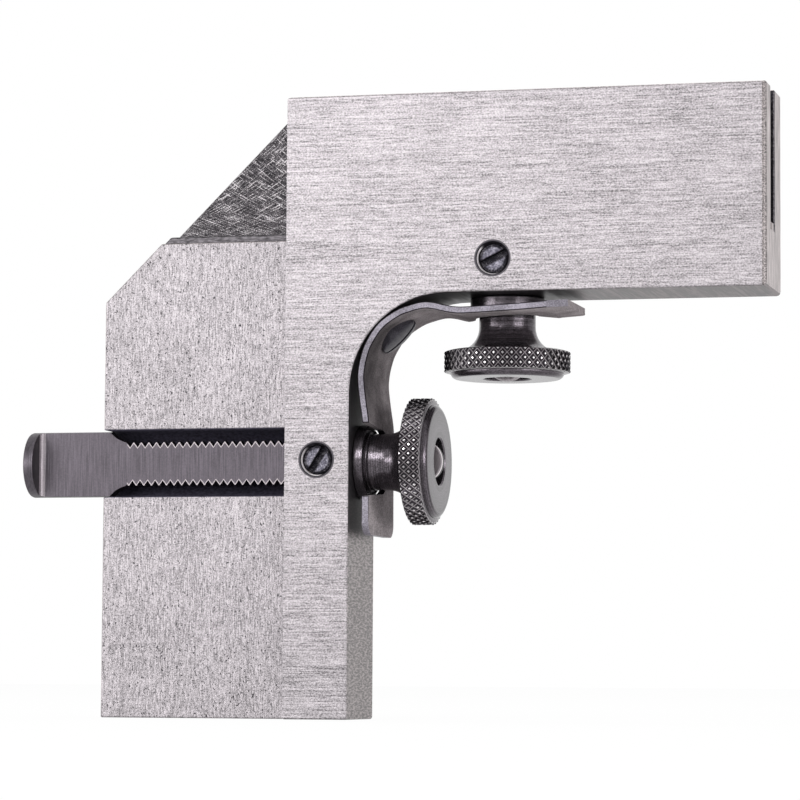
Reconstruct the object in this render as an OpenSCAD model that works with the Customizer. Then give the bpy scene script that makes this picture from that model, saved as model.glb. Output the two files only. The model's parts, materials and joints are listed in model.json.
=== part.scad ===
// Clamp head of a surface gauge: a right-angle steel head that grips an
// upright blade behind one hook bolt and a level rule with another.
// Millimetres. X = 0 is the blade shoulder, Y = 0 the middle of the
// thickness, Z = 0 the bottom face, which is the face it can stand on.
// -Y is the front. Each solid is a node of its own.

/* [Head] */
// Thickness of the head, front face to back face
head_t = 9.525; // [8:0.005:12]
// Full height of the head
head_h = 59.2; // [50:0.1:70]
// Height of the top leg
top_leg_h = 19.05; // [15:0.05:24]
// Length of the top leg from the blade shoulder
top_leg_len = 46; // [38:0.1:56]
// Width of the upright leg
up_leg_w = 6.3; // [5:0.1:9]
// Width of the flange behind the blade
flange_w = 19.05; // [15:0.05:26]
// Radius of the inside corner
corner_r = 9.4; // [6:0.05:12]

/* [Rule slot] */
// Thickness of the wall in front of the slot, and depth of the blade step
front_wall = 2.85; // [2:0.05:4]
// Width of the slot
slot_w = 2.56; // [2:0.01:3.2]
// Depth of the slot to its seat
slot_depth = 12.7; // [10:0.1:16]
// Relief grooves beside the seat: width and depth
relief = 0.7; // [0.4:0.05:1]

/* [Hook bolts] */
// Height of the blade bolt above the bottom face
blade_bolt_z = 24.5; // [20:0.1:30]
// Distance of the rule bolt from the blade shoulder
rule_bolt_x = 20.15; // [15:0.05:26]
// Depth of the rule bolt behind the middle of the thickness
rule_bolt_y = 1.9; // [1:0.05:2.2]
// Diameter of the blade bolt's plain bar
bar_d = 6.35; // [5:0.05:6.4]
// Clearance of that bar in its channel
bar_clear = 0.1; // [0.05:0.05:0.3]
// Diameter over the threads
thread_d = 4.42; // [4:0.02:4.5]
// Thread pitch
pitch = 0.77; // [0.7:0.01:0.8]
// Depth of the thread
thread_h = 0.46; // [0.3:0.01:0.5]
// Distance of the front flat from the bolt's axis
flat_y = 0.7; // [0.5:0.05:1.2]
// Opening between the blade shoulder and the hook
hook_gap = 25.95; // [25.5:0.05:27]
// Thickness of the hook disc
hook_t = 1.0; // [0.8:0.1:2]
// Fillet at the foot of the hook
hook_fillet = 0.6; // [0.3:0.1:0.7]
// Plain bar's end, and the start of its thread, left of the blade shoulder
bar_end = 18.8; // [17:0.1:22]
thread_start = 16.9; // [15:0.1:20]
// Length of the threaded ends beyond the head: blade bolt, and rule bolt
blade_bolt_out = 8.1; // [7:0.1:9]
rule_bolt_out = 7.95; // [7:0.05:9]
// Radius of their rounded tips
point_r = 2.05; // [1.9:0.05:2.2]
// Depth of the rule bolt's top below the top face
bolt_drop = 2; // [1:0.1:4]
// Width, height and reach of the rule bolt's nose
nose_w = 2.4; // [1.5:0.1:3]
nose_h = 0.9; // [0.5:0.1:1.2]
nose_reach = 0.75; // [0.4:0.05:1]
// Height of the round top above the rule bolt's flat
bolt_cap = 1.3; // [1:0.1:2]
// Radial clearance of the threaded ends in the head and the nuts
bolt_clear = 0.04; // [0.01:0.01:0.1]

/* [Nuts] */
// Diameter over the knurled rim
rim_d = 12.2; // [10:0.1:15]
// Start and end of the rim, from the head
rim_from = 5.05; // [4:0.05:6]
rim_to = 7.2; // [6:0.05:9]
// Outer face of the nut, from the head
nut_face = 7.72; // [7.4:0.02:10]
// Diameter of the boss beyond the rim
boss_d = 10.8; // [9:0.1:12]
// Diameter of the neck
neck_d = 5.4; // [5:0.1:6]
// Diameter of the collar that bears on the head
collar_d = 7.1; // [6.8:0.1:8]
// Radius at the foot of the cove, and where the cove starts
foot_r = 3.65; // [3.3:0.05:4]
cove_z = 2.75; // [2:0.05:3.5]
// Radius of the cove between neck and rim
cove_r = 2.3; // [1.8:0.05:2.3]
// Collar width, and width with the narrow ring beyond it
collar_w = 1; // [0.8:0.05:1]
ring_w = 1.3; // [1.2:0.05:1.3]
// Gap between the nuts and the head
nut_gap = 0.03; // [0.02:0.01:0.1]

/* [Leaf spring] */
// Thickness of the strip
strip_t = 0.65; // [0.4:0.05:0.8]
// Width of the strip
strip_w = 9.5; // [8:0.1:9.6]
// Radius of the notches round the nut necks
notch_r = 3.1; // [2.8:0.05:3.4]
// Widening of the notches on each side: lower, and right
notch_low = 0.7; // [0:0.05:1]
notch_right = 4.6; // [0:0.1:5]
// Radius of the rounded corners: lower, and back right
round_low = 1.3; // [0.5:0.1:2]
round_right = 0.5; // [0.3:0.1:2]
// Slanting cut across the front right corner: along the strip, and across
slant_along = 1.9; // [1:0.1:2]
slant_across = 0.9; // [0.5:0.1:2]
// Overhang of the strip's ends beyond the bolts: below, and to the right
end_low = 7.1; // [6:0.1:9]
end_right = 7.05; // [6:0.05:9]
// Gap of the strip's middle line to the upright leg, and to the top leg
strip_off = 1.66; // [1.4:0.01:2]
strip_off_top = 1.65; // [1.4:0.01:2]

/* [Screws] */
// Diameter of the guide screws
guide_d = 2.9; // [2.5:0.05:3.2]
// Depth of the guide screw below the front face
guide_sink = 0.4; // [0.05:0.01:0.6]
// Slot of the guide screws: width and depth
guide_slot_w = 0.65; // [0.3:0.05:0.8]
guide_slot_h = 0.65; // [0.4:0.05:0.9]
// Bevel at the mouth of its hole, over its diameter
guide_bevel = 0.44; // [0.3:0.02:0.8]
// Depth of the rule bolt's guide screw below the slot's seat
guide_drop = 3.2; // [2:0.1:4]
// Head diameter of the spring screw
ss_head_d = 4.2; // [3.6:0.1:5]
// Height of the side of that head
ss_side_h = 0.62; // [0.4:0.01:1]
// Height of its domed top
ss_dome_h = 0.42; // [0.2:0.01:0.8]
// Shank diameter of the spring screw
ss_d = 2.4; // [2:0.1:3]
// Slot of that head: width and depth
ss_slot_w = 0.6; // [0.4:0.05:0.8]
ss_slot_h = 0.55; // [0.3:0.05:0.7]
// Length of that shank below the strip
ss_len = 4.5; // [3:0.1:6]

/* [Hidden] */
$fn = 96;
half_t = head_t / 2;
front_y = -half_t;
step_y = front_y + front_wall;
wall_y = step_y + slot_w;
seat_z = head_h - slot_depth;
leg_z = head_h - top_leg_h;
corner_x = up_leg_w + corner_r;
corner_z = leg_z - corner_r;
bore_d = thread_d + 2 * bolt_clear;
channel_d = bar_d + bar_clear;
guide_z = seat_z - guide_drop;
root_r = thread_d / 2 - thread_h;
guide_tip = 0.03;
press = 0.02;
// cutters run past the faces they cut by this much, or by far more
over = 1;
far = 2 * head_t;

// middle line of the leaf spring, from its lower end to its right end:
// up the upright leg (shift in X, share of the way up), round the corner
// (in corner radii from the corner's centre), along the top leg (share of
// the way, shift in Z)
strip_x = up_leg_w + strip_off;
strip_z = leg_z - strip_off_top;
low_z = blade_bolt_z - end_low;
bend_z = corner_z - 0.1 * corner_r;
bend_x = corner_x - 0.14 * corner_r;
right_x = rule_bolt_x + end_right;
low_pts = [[0.01, 0], [0, 0.17], [0, 0.34], [0, 0.59], [0.02, 0.83], [-0.26, 1]];
corner_pts = [
  [-0.877, 0.117], [-0.871, 0.25], [-0.843, 0.381], [-0.794, 0.508], [-0.677, 0.677],
  [-0.509, 0.7955], [-0.3815, 0.844], [-0.2505, 0.8745]
];
right_pts = [
  [0, 0.43], [0.095, 0.14], [0.19, -0.04], [0.3, -0.02], [0.456, 0.07], [0.627, 0.17],
  [0.81, 0.32], [1, 0.52]
];
strip_pts = concat(
  [for (p = low_pts) [strip_x + p[0], low_z + p[1] * (bend_z - low_z)]],
  [for (p = corner_pts) [corner_x + p[0] * corner_r, corner_z + p[1] * corner_r]],
  [for (p = right_pts) [bend_x + p[0] * (right_x - bend_x), strip_z + p[1]]]);
strip_n = len(strip_pts);
steps = 4;
// where the spring screw's axis meets the strip, and the way it points
spring_c = [corner_x - 0.677 * corner_r, corner_z + 0.677 * corner_r];
spring_dir = [sqrt(0.5), -sqrt(0.5)];

// Catmull-Rom point on the spring's middle line
function pt(i) = strip_pts[max(0, min(strip_n - 1, i))];
function cr(i, t) =
  0.5 * (2 * pt(i) + (pt(i + 1) - pt(i - 1)) * t
  + (2 * pt(i - 1) - 5 * pt(i) + 4 * pt(i + 1) - pt(i + 2)) * t * t
  + (-pt(i - 1) + 3 * pt(i) - 3 * pt(i + 1) + pt(i + 2)) * t * t * t);
line = concat([for (i = [0 : strip_n - 2]) for (k = [0 : steps - 1]) cr(i, k / steps)],
  [strip_pts[strip_n - 1]]);
line_n = len(line);
function dir_at(i) = line[min(line_n - 1, i + 1)] - line[max(0, i - 1)];
function side(i, s) =
  line[i] + s * strip_t / 2 * [-dir_at(i)[1], dir_at(i)[0]] / norm(dir_at(i));

// turn a Z shape so that it runs along +X
module along_x() {
  rotate([0, 90, 0]) children();
}

// turn an X-Z outline so that it stands in Y
module stand(y0, y1) {
  translate([0, y1, 0]) rotate([90, 0, 0]) linear_extrude(height = y1 - y0) children();
}

// outline of the front part: both legs and the inside corner
module legs_outline() {
  difference() {
    polygon([
      [0, 0], [up_leg_w, 0], [up_leg_w, corner_z], [corner_x, corner_z],
      [corner_x, leg_z], [top_leg_len, leg_z], [top_leg_len, head_h], [0, head_h]
    ]);
    translate([corner_x, corner_z]) circle(r = corner_r, $fn = 144);
  }
}

// the head: legs, flange, slot, channel and bores
module head() {
  color([0.72, 0.7, 0.69])
  difference() {
    union() {
      stand(front_y, half_t) legs_outline();
      stand(step_y, half_t)
        polygon([[-flange_w, 0], [1, 0], [1, head_h], [0, head_h], [-flange_w, head_h - flange_w]]);
    }
    // rule slot: seat in the middle, a relief groove on each side
    along_slot(step_y, seat_z, slot_w, slot_depth + over);
    along_slot(step_y, seat_z - relief, relief, relief + bar_clear);
    along_slot(wall_y - relief, seat_z - relief, relief, relief + bar_clear);
    // channel behind the blade for the plain bar
    translate([-flange_w - over, 0, blade_bolt_z]) along_x()
      cylinder(d = channel_d, h = flange_w + over);
    translate([-flange_w - over, step_y - over, blade_bolt_z - channel_d / 2])
      cube([flange_w + over, over - step_y, channel_d]);
    // bores of the threaded ends
    translate([-over, 0, blade_bolt_z]) along_x() cylinder(d = bore_d, h = up_leg_w + 2 * over);
    translate([rule_bolt_x, rule_bolt_y, leg_z - over])
      cylinder(d = bore_d, h = top_leg_h + 2 * over);
    // guide screw holes, bevelled at the mouth
    guide_hole(up_leg_w / 2, blade_bolt_z, -flat_y);
    guide_hole(rule_bolt_x, guide_z, rule_bolt_y - flat_y);
    // tapped hole of the spring screw
    at_corner(-ss_len - 2 * over) cylinder(d = ss_d - 2 * press, h = ss_len + 4 * over);
  }
}

// cutter that runs through the whole top of the head, w wide and h high
module along_slot(y, z, w, h) {
  translate([-flange_w - over, y, z]) cube([flange_w + top_leg_len + 2 * over, w, h]);
}

// hole for a guide screw at (x, z), ending inside the bore whose flat is at y
module guide_hole(x, z, y) {
  translate([x, front_y - over, z]) rotate([-90, 0, 0])
    cylinder(d = guide_d - 2 * press, h = y - front_y + over + 0.2);
  translate([x, front_y - 0.1, z]) rotate([-90, 0, 0])
    cylinder(d1 = guide_d + guide_bevel, d2 = guide_d - 0.1, h = guide_sink + 0.1);
}

// move to the corner, with +Z along the screw's outward direction
module at_corner(off) {
  translate([spring_c[0] + off * spring_dir[0], 0, spring_c[1] + off * spring_dir[1]])
    rotate([0, 135, 0]) children();
}

// revolved outline of a threaded stretch, from z0 up to z1
function thread_pts(z0, z1) =
  [for (k = [0 : floor((z1 - z0) / pitch) - 1]) for (q = [0 : 3])
    [thread_d / 2 - ((q == 0 || q == 3) ? thread_h : 0),
      z0 + pitch * k + pitch * [0.04, 0.44, 0.56, 0.96][q]]];

// rounded tip at a height, which points up (way 1) or down (way -1), from the
// lower of its two ends to the upper one
function tip_pts(tip, way) =
  [for (k = [0 : 8]) let (a = (way > 0 ? 8 - k : k) / 8 * asin(root_r / point_r))
    [point_r * sin(a), tip - way * point_r * (1 - cos(a))]];

// long hook bolt, laid along X with its hook on the left
module blade_bolt() {
  left = -hook_gap - hook_t;
  tip = up_leg_w + blade_bolt_out;
  color([0.42, 0.41, 0.43])
  difference() {
    translate([0, 0, blade_bolt_z]) along_x() rotate_extrude()
      polygon(concat(
        [[0, left], [bar_d / 2 - 0.15, left], [bar_d / 2, left + 0.15], [bar_d / 2, -bar_end],
          [bar_d / 2 - 0.37, -bar_end + 0.4], [bar_d / 2 - 0.74, -bar_end + 1],
          [bar_d / 2 - 0.95, -bar_end + 1.6], [root_r, -thread_start]],
        thread_pts(-thread_start, tip - 1.1),
        tip_pts(tip, 1)));
    // front flat, from the hook's inner face to the tip, with a fillet at its foot
    translate([0, 0, blade_bolt_z - bar_d]) linear_extrude(height = 2 * bar_d)
      difference() {
        translate([-hook_gap, -far]) square([hook_gap + tip + over, far - flat_y]);
        translate([-hook_gap - over, -flat_y - hook_fillet]) difference() {
          square([hook_fillet + over, hook_fillet + over]);
          translate([hook_fillet + over, 0]) circle(r = hook_fillet);
        }
      }
  }
}

// short hook bolt, upright, its nose in the rule slot
module rule_bolt() {
  tip = leg_z - rule_bolt_out;
  thread_to = leg_z + 1.2;
  top = head_h - bolt_drop;
  color([0.42, 0.41, 0.43])
  union() {
    difference() {
      translate([rule_bolt_x, rule_bolt_y, 0]) rotate_extrude()
        polygon(concat(
          tip_pts(tip, -1),
          thread_pts(tip + 1.1, thread_to),
          [[root_r, thread_to + 0.1], [thread_d / 2, thread_to + 0.6],
            [thread_d / 2, top], [0, top]]));
      translate([rule_bolt_x - thread_d, rule_bolt_y - flat_y - thread_d, tip - over])
        cube([2 * thread_d, thread_d, top - bolt_cap - tip + over]);
    }
    // nose that reaches into the rule's groove
    translate([rule_bolt_x - nose_w / 2, wall_y - nose_reach, top - bolt_cap])
      cube([nose_w, rule_bolt_y - wall_y + nose_reach, nose_h]);
  }
}

// nut profile: distance from the axis, distance from the head
module nut_solid() {
  rim_r = rim_d / 2;
  difference() {
    rotate_extrude() polygon(concat(
      [[1, nut_gap], [collar_d / 2 - 0.08, nut_gap], [collar_d / 2, nut_gap + 0.08],
        [collar_d / 2, collar_w - 0.06], [collar_d / 2 - 0.08, collar_w],
        [neck_d / 2 + 0.1, collar_w], [neck_d / 2 + 0.1, collar_w + 0.12],
        [neck_d / 2 + 0.3, collar_w + 0.15], [neck_d / 2 + 0.35, ring_w - 0.05],
        [neck_d / 2 + 0.3, ring_w]],
      [[neck_d / 2, ring_w], [neck_d / 2, cove_z]],
      [for (a = [10 : 10 : 70])
        [neck_d / 2 + cove_r * (1 - cos(a)) * 0.95, cove_z + cove_r * sin(a)]],
      [[foot_r + 0.6, rim_from - 0.02], [rim_r - 0.35, rim_from], [rim_r, rim_from + 0.3],
        [rim_r, rim_to - 0.3], [rim_r - 0.3, rim_to], [boss_d / 2, rim_to],
        [boss_d / 2, rim_to + 0.1], [boss_d / 2 - 0.08, rim_to + 0.28],
        [boss_d / 2 - 0.22, rim_to + 0.43], [boss_d / 2 - 0.38, nut_face - 0.02],
        [boss_d / 2 - 0.5, nut_face], [1, nut_face]]));
    translate([0, 0, -over]) cylinder(d = bore_d, h = nut_face + 2 * over);
    translate([0, 0, nut_face - 0.1]) cylinder(d1 = bore_d - 0.1, d2 = bore_d + 0.1, h = 0.11);
  }
}

// nut of the blade bolt, against the upright leg
module blade_nut() {
  color([0.3, 0.3, 0.32])
  translate([up_leg_w, 0, blade_bolt_z]) along_x() nut_solid();
}

// nut of the rule bolt, below the top leg
module rule_nut() {
  color([0.3, 0.3, 0.32])
  translate([rule_bolt_x, rule_bolt_y, leg_z]) rotate([180, 0, 0]) nut_solid();
}

// bent strip with an open notch round each nut's neck
module leaf_spring() {
  color([0.25, 0.25, 0.28])
  difference() {
    stand(-strip_w / 2, strip_w / 2)
      polygon(concat([for (i = [0 : line_n - 1]) side(i, 1)],
        [for (i = [line_n - 1 : -1 : 0]) side(i, -1)]));
    // notch open to the front, in the lower end
    translate([strip_x, 0, blade_bolt_z]) along_x() notch(-strip_w, notch_low);
    // notch open to the back, in the right end
    translate([rule_bolt_x, rule_bolt_y, strip_z]) notch(strip_w, notch_right);
    // corners
    translate([right_x, -strip_w / 2, strip_z]) slant(slant_along, slant_across);
    translate([right_x, strip_w / 2, strip_z]) rotate([0, 0, 180]) round_off(round_right);
    translate([strip_x, -strip_w / 2, low_z]) along_x() rotate([0, 0, 90]) round_off(round_low);
    translate([strip_x, strip_w / 2, low_z]) along_x() rotate([0, 0, 180]) round_off(round_low);
    // hole of the screw
    at_corner(-strip_t) cylinder(d = ss_d - 2 * press, h = 2 * strip_t);
  }
}

// round notch about Z that widens by flare on each side, out to y
module notch(y, flare) {
  linear_extrude(height = 6 * strip_t, center = true) {
    circle(r = notch_r);
    polygon([[-notch_r, 0], [notch_r, 0], [notch_r + flare, y], [-notch_r - flare, y]]);
  }
}

// what is cut off a corner at the origin, whose metal lies towards +X and +Y,
// to round it by r
module round_off(r) {
  linear_extrude(height = 6 * strip_t, center = true) difference() {
    translate([-r, -r]) square(2 * r);
    translate([r, r]) circle(r = r);
  }
}

// what is cut off a corner at the origin, whose metal lies towards -X and +Y,
// from a along X to b along Y
module slant(a, b) {
  linear_extrude(height = 6 * strip_t, center = true)
    polygon([[-1.5 * a, -0.5 * b], [0.5 * a, -0.5 * b], [0.5 * a, 1.5 * b]]);
}

// round-headed slotted screw in the inside corner
module spring_screw() {
  color([0.3, 0.3, 0.32])
  difference() {
    union() {
      at_corner(-ss_len) cylinder(d = ss_d, h = ss_len + strip_t);
      at_corner(strip_t / 2) rotate_extrude()
        polygon(concat([[0, 0], [ss_head_d / 2, 0], [ss_head_d / 2, ss_side_h]],
          [for (a = [15 : 15 : 90]) [ss_head_d / 2 * cos(a), ss_side_h + ss_dome_h * sin(a)]]));
    }
    at_corner(strip_t / 2 + ss_side_h + ss_dome_h - ss_slot_h)
      translate([-ss_head_d, -ss_slot_w / 2, 0]) cube([2 * ss_head_d, ss_slot_w, ss_head_d]);
  }
}

// slotted grub screw at (x, z), its tip at y
module guide_screw(x, z, y, turn) {
  top = front_y + guide_sink;
  color([0.3, 0.3, 0.33])
  difference() {
    translate([x, top, z]) rotate([-90, 0, 0]) union() {
      cylinder(d1 = guide_d - 0.3, d2 = guide_d, h = 0.15);
      translate([0, 0, 0.15]) cylinder(d = guide_d, h = y - top - 0.75);
      translate([0, 0, y - top - 0.6]) cylinder(d1 = guide_d, d2 = guide_d - 0.8, h = 0.6);
    }
    translate([x, top, z]) rotate([0, turn, 0])
      cube([2 * guide_d, 2 * guide_slot_h, guide_slot_w], center = true);
  }
}

// grub screw whose tip guides the flat of the blade bolt
module blade_guide_screw() {
  guide_screw(up_leg_w / 2, blade_bolt_z, -flat_y - guide_tip, -58);
}

// grub screw whose tip guides the flat of the rule bolt
module rule_guide_screw() {
  guide_screw(rule_bolt_x, guide_z, rule_bolt_y - flat_y - guide_tip, -26);
}

head();
blade_bolt();
rule_bolt();
blade_nut();
rule_nut();
leaf_spring();
spring_screw();
blade_guide_screw();
rule_guide_screw();
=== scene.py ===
# %% [markdown]
# # A right-angle gauge head in ground steel
# The object is an L of ground steel. One hook bolt clamps an upright blade
# against its left flange, and another clamps a level rule in the slot along
# its top. A knurled nut draws in each bolt, and a bent leaf spring lies
# between the nuts and the head. Three slotted screws complete it.
# Every size comes from the CAD model, so that model is loaded first and
# the finished pieces are laid over it. Anything that Blender puts in a new
# file is removed before that, so that only the object is in the scene.

# %% Load the CAD model as a fixed frame
import json
import math
import bmesh
import bpy
from mathutils import Matrix, Vector

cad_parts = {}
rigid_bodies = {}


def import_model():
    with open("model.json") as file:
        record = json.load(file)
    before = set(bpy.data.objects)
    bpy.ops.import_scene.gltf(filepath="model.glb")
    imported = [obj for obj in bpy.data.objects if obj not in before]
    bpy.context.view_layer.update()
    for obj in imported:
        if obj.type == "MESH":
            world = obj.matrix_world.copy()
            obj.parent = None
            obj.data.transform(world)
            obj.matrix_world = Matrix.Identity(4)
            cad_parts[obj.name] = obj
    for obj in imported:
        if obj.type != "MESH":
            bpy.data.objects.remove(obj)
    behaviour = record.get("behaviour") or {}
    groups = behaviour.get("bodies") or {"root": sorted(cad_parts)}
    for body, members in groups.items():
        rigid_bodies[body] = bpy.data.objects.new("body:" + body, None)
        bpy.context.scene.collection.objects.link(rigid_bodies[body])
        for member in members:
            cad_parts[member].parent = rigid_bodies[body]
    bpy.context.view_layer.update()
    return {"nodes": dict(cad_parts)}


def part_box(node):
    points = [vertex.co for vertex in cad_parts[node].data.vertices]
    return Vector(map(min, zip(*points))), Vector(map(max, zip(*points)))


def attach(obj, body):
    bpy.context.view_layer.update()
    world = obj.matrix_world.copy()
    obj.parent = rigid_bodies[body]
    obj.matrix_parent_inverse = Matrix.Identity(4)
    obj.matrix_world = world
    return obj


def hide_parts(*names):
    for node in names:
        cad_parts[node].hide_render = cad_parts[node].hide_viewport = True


for left_over in list(bpy.data.objects):
    bpy.data.objects.remove(left_over)
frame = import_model()
print("CAD nodes:", ", ".join(sorted(frame["nodes"])))

# %% [markdown]
# ## Camera
# The object is 60 mm high, about as large as a matchbox. The camera stands
# to the right of it and a little low, so that the inner sides of both legs
# show. A short lens close by would make the near edges spread, so a long
# lens looks at it from a third of a metre. A softer perspective is what
# makes a small machined part look precise.

# %% Camera
LENS = 157.5
CAMERA_AT = (0.092692, -0.32295, 0.003676)
CAMERA_TURN = (94.58914, -0.36062, 14.32021)
camera_data = bpy.data.cameras.new("camera")
camera_data.lens = LENS
camera_data.sensor_width = 36
camera = bpy.data.objects.new("camera", camera_data)
camera.location = CAMERA_AT
camera.rotation_euler = [math.radians(angle) for angle in CAMERA_TURN]
bpy.context.scene.collection.objects.link(camera)
bpy.context.scene.camera = camera
bpy.context.scene.view_settings.view_transform = "Standard"
print("camera", round(camera.location.length, 3), "m from the origin")

# %% [markdown]
# ## Shader maths as expressions
# A finish is a graph of nodes. It could be wired node by node, but then
# the idea behind it is hard to read. Here a socket is wrapped in a small
# class that knows +, - and *, and each expression adds its Math node. So
# `1 - mask` in Python is a Math node in the finish.

# %% A socket that takes part in expressions
class Wire:
    """A shader socket that takes part in Python expressions."""

    def __init__(self, graph, socket):
        self.graph = graph
        self.socket = socket

    def maths(self, operation, *values):
        """A Math node of any operation, over values or wires."""
        return self.graph.node("ShaderNodeMath", {"operation": operation}, dict(enumerate(values)))

    def __add__(self, other):
        return self.maths("ADD", self, other)

    def __radd__(self, other):
        return self.maths("ADD", other, self)

    def __sub__(self, other):
        return self.maths("SUBTRACT", self, other)

    def __rsub__(self, other):
        return self.maths("SUBTRACT", other, self)

    def __mul__(self, other):
        return self.maths("MULTIPLY", self, other)

    def __rmul__(self, other):
        return self.maths("MULTIPLY", other, self)

    def most(self, other):
        """The larger of two values."""
        return self.maths("MAXIMUM", self, other)

    def root(self):
        """Square root, where negative values count as 0."""
        return self.maths("SQRT", self.most(0.0))

    def rise(self, low, high):
        """0 below low, 1 above high and smooth between."""
        return self.graph.node("ShaderNodeMapRange", {"interpolation_type": "SMOOTHSTEP"},
                               {"Value": self, "From Min": low, "From Max": high})

    def band(self, low, full, fade, high):
        """1 from full to fade, and 0 below low and above high."""
        return self.rise(low, full) * (1 - self.rise(fade, high))


def distance(first, second):
    """Distance from an axis, of a place given by two wires across that axis."""
    return (first * first + second * second).root()


# %% [markdown]
# ## A graph
# All other nodes come from a single method, `node`, which takes the node's
# type, its settings and its sockets. It has a class of its own, because the
# sky is a graph as well as each finish.

# %% A graph that one method adds to
class Graph:
    """A tree of shader nodes that one method adds to."""

    def __init__(self, tree):
        self.tree = tree

    def node(self, kind, settings, sockets, out=0):
        """Add a node: its settings first, then its sockets' values or links."""
        made = self.tree.nodes.new(kind)
        for key, value in settings.items():
            if key == "stops":
                ramp = made.color_ramp
                while len(ramp.elements) < len(value):
                    ramp.elements.new(0.5)
                for stop, (at, colour) in zip(ramp.elements, value):
                    stop.position = at
                    stop.color = (*colour, 1)
            else:
                setattr(made, key, value)
        for key, value in sockets.items():
            if isinstance(value, Wire):
                self.tree.links.new(value.socket, made.inputs[key])
            else:
                made.inputs[key].default_value = value
        return Wire(self, made.outputs[out])

    def outputs(self, kind, sockets, *names):
        """Add a node and give some of its outputs, by their names."""
        made = self.node(kind, {}, sockets).socket.node
        return [Wire(self, made.outputs[name]) for name in names]


# %% [markdown]
# ## A finish
# Each finish is one material. Its patterns read Object coordinates, which
# are metres here, so the size of a grain is given in grains per metre: 5000
# of them make 0.2 mm each. Stretching noise along one axis turns grain into
# tool marks.

# %% A material that is written as expressions
class Finish(Graph):
    """A material whose graph is written as expressions."""

    def __init__(self, name, **constants):
        self.material = bpy.data.materials.new(name)
        self.material.use_nodes = True
        super().__init__(self.material.node_tree)
        self.shader = self.tree.nodes["Principled BSDF"]
        for socket, value in constants.items():
            self.shader.inputs[socket.replace("_", " ")].default_value = value
        self.place = self.node("ShaderNodeTexCoord", {}, {}, "Object")

    def parts(self):
        """X, Y and Z of the place, in metres, as three wires."""
        return self.outputs("ShaderNodeSeparateXYZ", {0: self.place}, "X", "Y", "Z")

    def pattern(self, vector):
        """Noise over a vector that counts one grain a unit."""
        return self.node("ShaderNodeTexNoise", {},
                         {"Vector": vector, "Scale": 1.0, "Detail": 2.0, "Roughness": 0.6})

    def noise(self, stretch):
        """Noise whose grains per metre differ along X, Y and Z."""
        scaled = self.node("ShaderNodeMapping", {}, {"Vector": self.place, "Scale": stretch})
        return self.pattern(scaled)

    def trace(self, *coordinates):
        """Noise over up to three wires, already scaled to one grain a unit."""
        return self.pattern(self.node("ShaderNodeCombineXYZ", {}, dict(enumerate(coordinates))))

    def grain(self, *layers):
        """Sum of noise layers, each a share and its grains per metre."""
        return sum(self.noise(stretch) * share for share, stretch in layers)

    def ramp(self, wire, *stops):
        """Colour stops over a wire's range."""
        return self.node("ShaderNodeValToRGB", {"stops": stops}, {"Fac": wire}, "Color")

    def tones(self, wire, light, *stops):
        """Darker and lighter tones of one colour over a wire's range."""
        return self.ramp(wire, *((at, times(light, factor)) for at, factor in stops))

    def mix(self, mask, below, above):
        """One colour where the mask is 0, another where it is 1."""
        below, above = (colour if isinstance(colour, Wire) else (*colour, 1)
                        for colour in (below, above))
        return self.node("ShaderNodeMix", {"data_type": "RGBA"}, {0: mask, 6: below, 7: above}, 2)

    def bump(self, wire, depth):
        """Normals from a height of 0 to 1, depth metres deep."""
        return self.node("ShaderNodeBump", {},
                         {"Height": wire, "Distance": depth, "Strength": 1.0})

    def feed(self, **sockets):
        """Link wires to the shader's sockets."""
        for socket, wire in sockets.items():
            self.tree.links.new(wire.socket, self.shader.inputs[socket.replace("_", " ")])

    def done(self):
        """The material, once its graph is complete."""
        print(self.material.name, "has", len(self.tree.nodes), "nodes")
        return self.material

    def marked(self, colour, mark, spread, least, depth):
        """Colour, roughness and relief that follow one mark, as in a real scratch."""
        rough = mark * spread + least
        self.feed(Base_Color=colour, Roughness=rough, Normal=self.bump(mark, depth))
        return self.done()


# %% [markdown]
# ## Colours
# A colour is read off a screen as three numbers up to 255, but a shader
# works with light, in which twice the number is twice the light. `shade`
# turns the one into the other, and `times` makes a colour darker or lighter.

# %% Colours from screen values
def tone(value):
    """An 8-bit screen value as the linear light that it stands for."""
    v = value / 255
    return v / 12.92 if v <= 0.04045 else ((v + 0.055) / 1.055) ** 2.4


def shade(red, green, blue):
    """A colour given by its 8-bit screen values."""
    return (tone(red), tone(green), tone(blue))


def times(colour, factor):
    """A colour made darker or lighter."""
    return tuple(min(1.0, channel * factor) for channel in colour)


print("middle grey 128 is", round(tone(128), 3), "of white light")

# %% [markdown]
# ## Floor
# Steel shows what is round it, so a ground surface under plain white looks
# pale and clean. The floor could be lit until it is white, but that light
# would wash out the object too. Instead its white is seen only by the
# camera and by mirror rays, through the Light Path node, and the rest of
# the floor is a matt surface that still takes a soft shadow.

# %% Floor that looks white
WHITE = (1, 1, 1, 1)
WHITE_SHARE = 0.95
SEEING_RAYS = ("Is Camera Ray", "Is Glossy Ray", "Is Transmission Ray")


def show_white(graph, surface, white, share, output):
    """Show white to camera and mirror rays, and the surface to all others."""
    camera_ray, glossy, through = graph.outputs("ShaderNodeLightPath", {}, *SEEING_RAYS)
    seen = camera_ray.most(glossy).most(through) * share
    mixed = graph.node("ShaderNodeMixShader", {}, {0: seen, 1: surface, 2: white})
    graph.tree.links.new(mixed.socket, graph.tree.nodes[output].inputs["Surface"])


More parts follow.
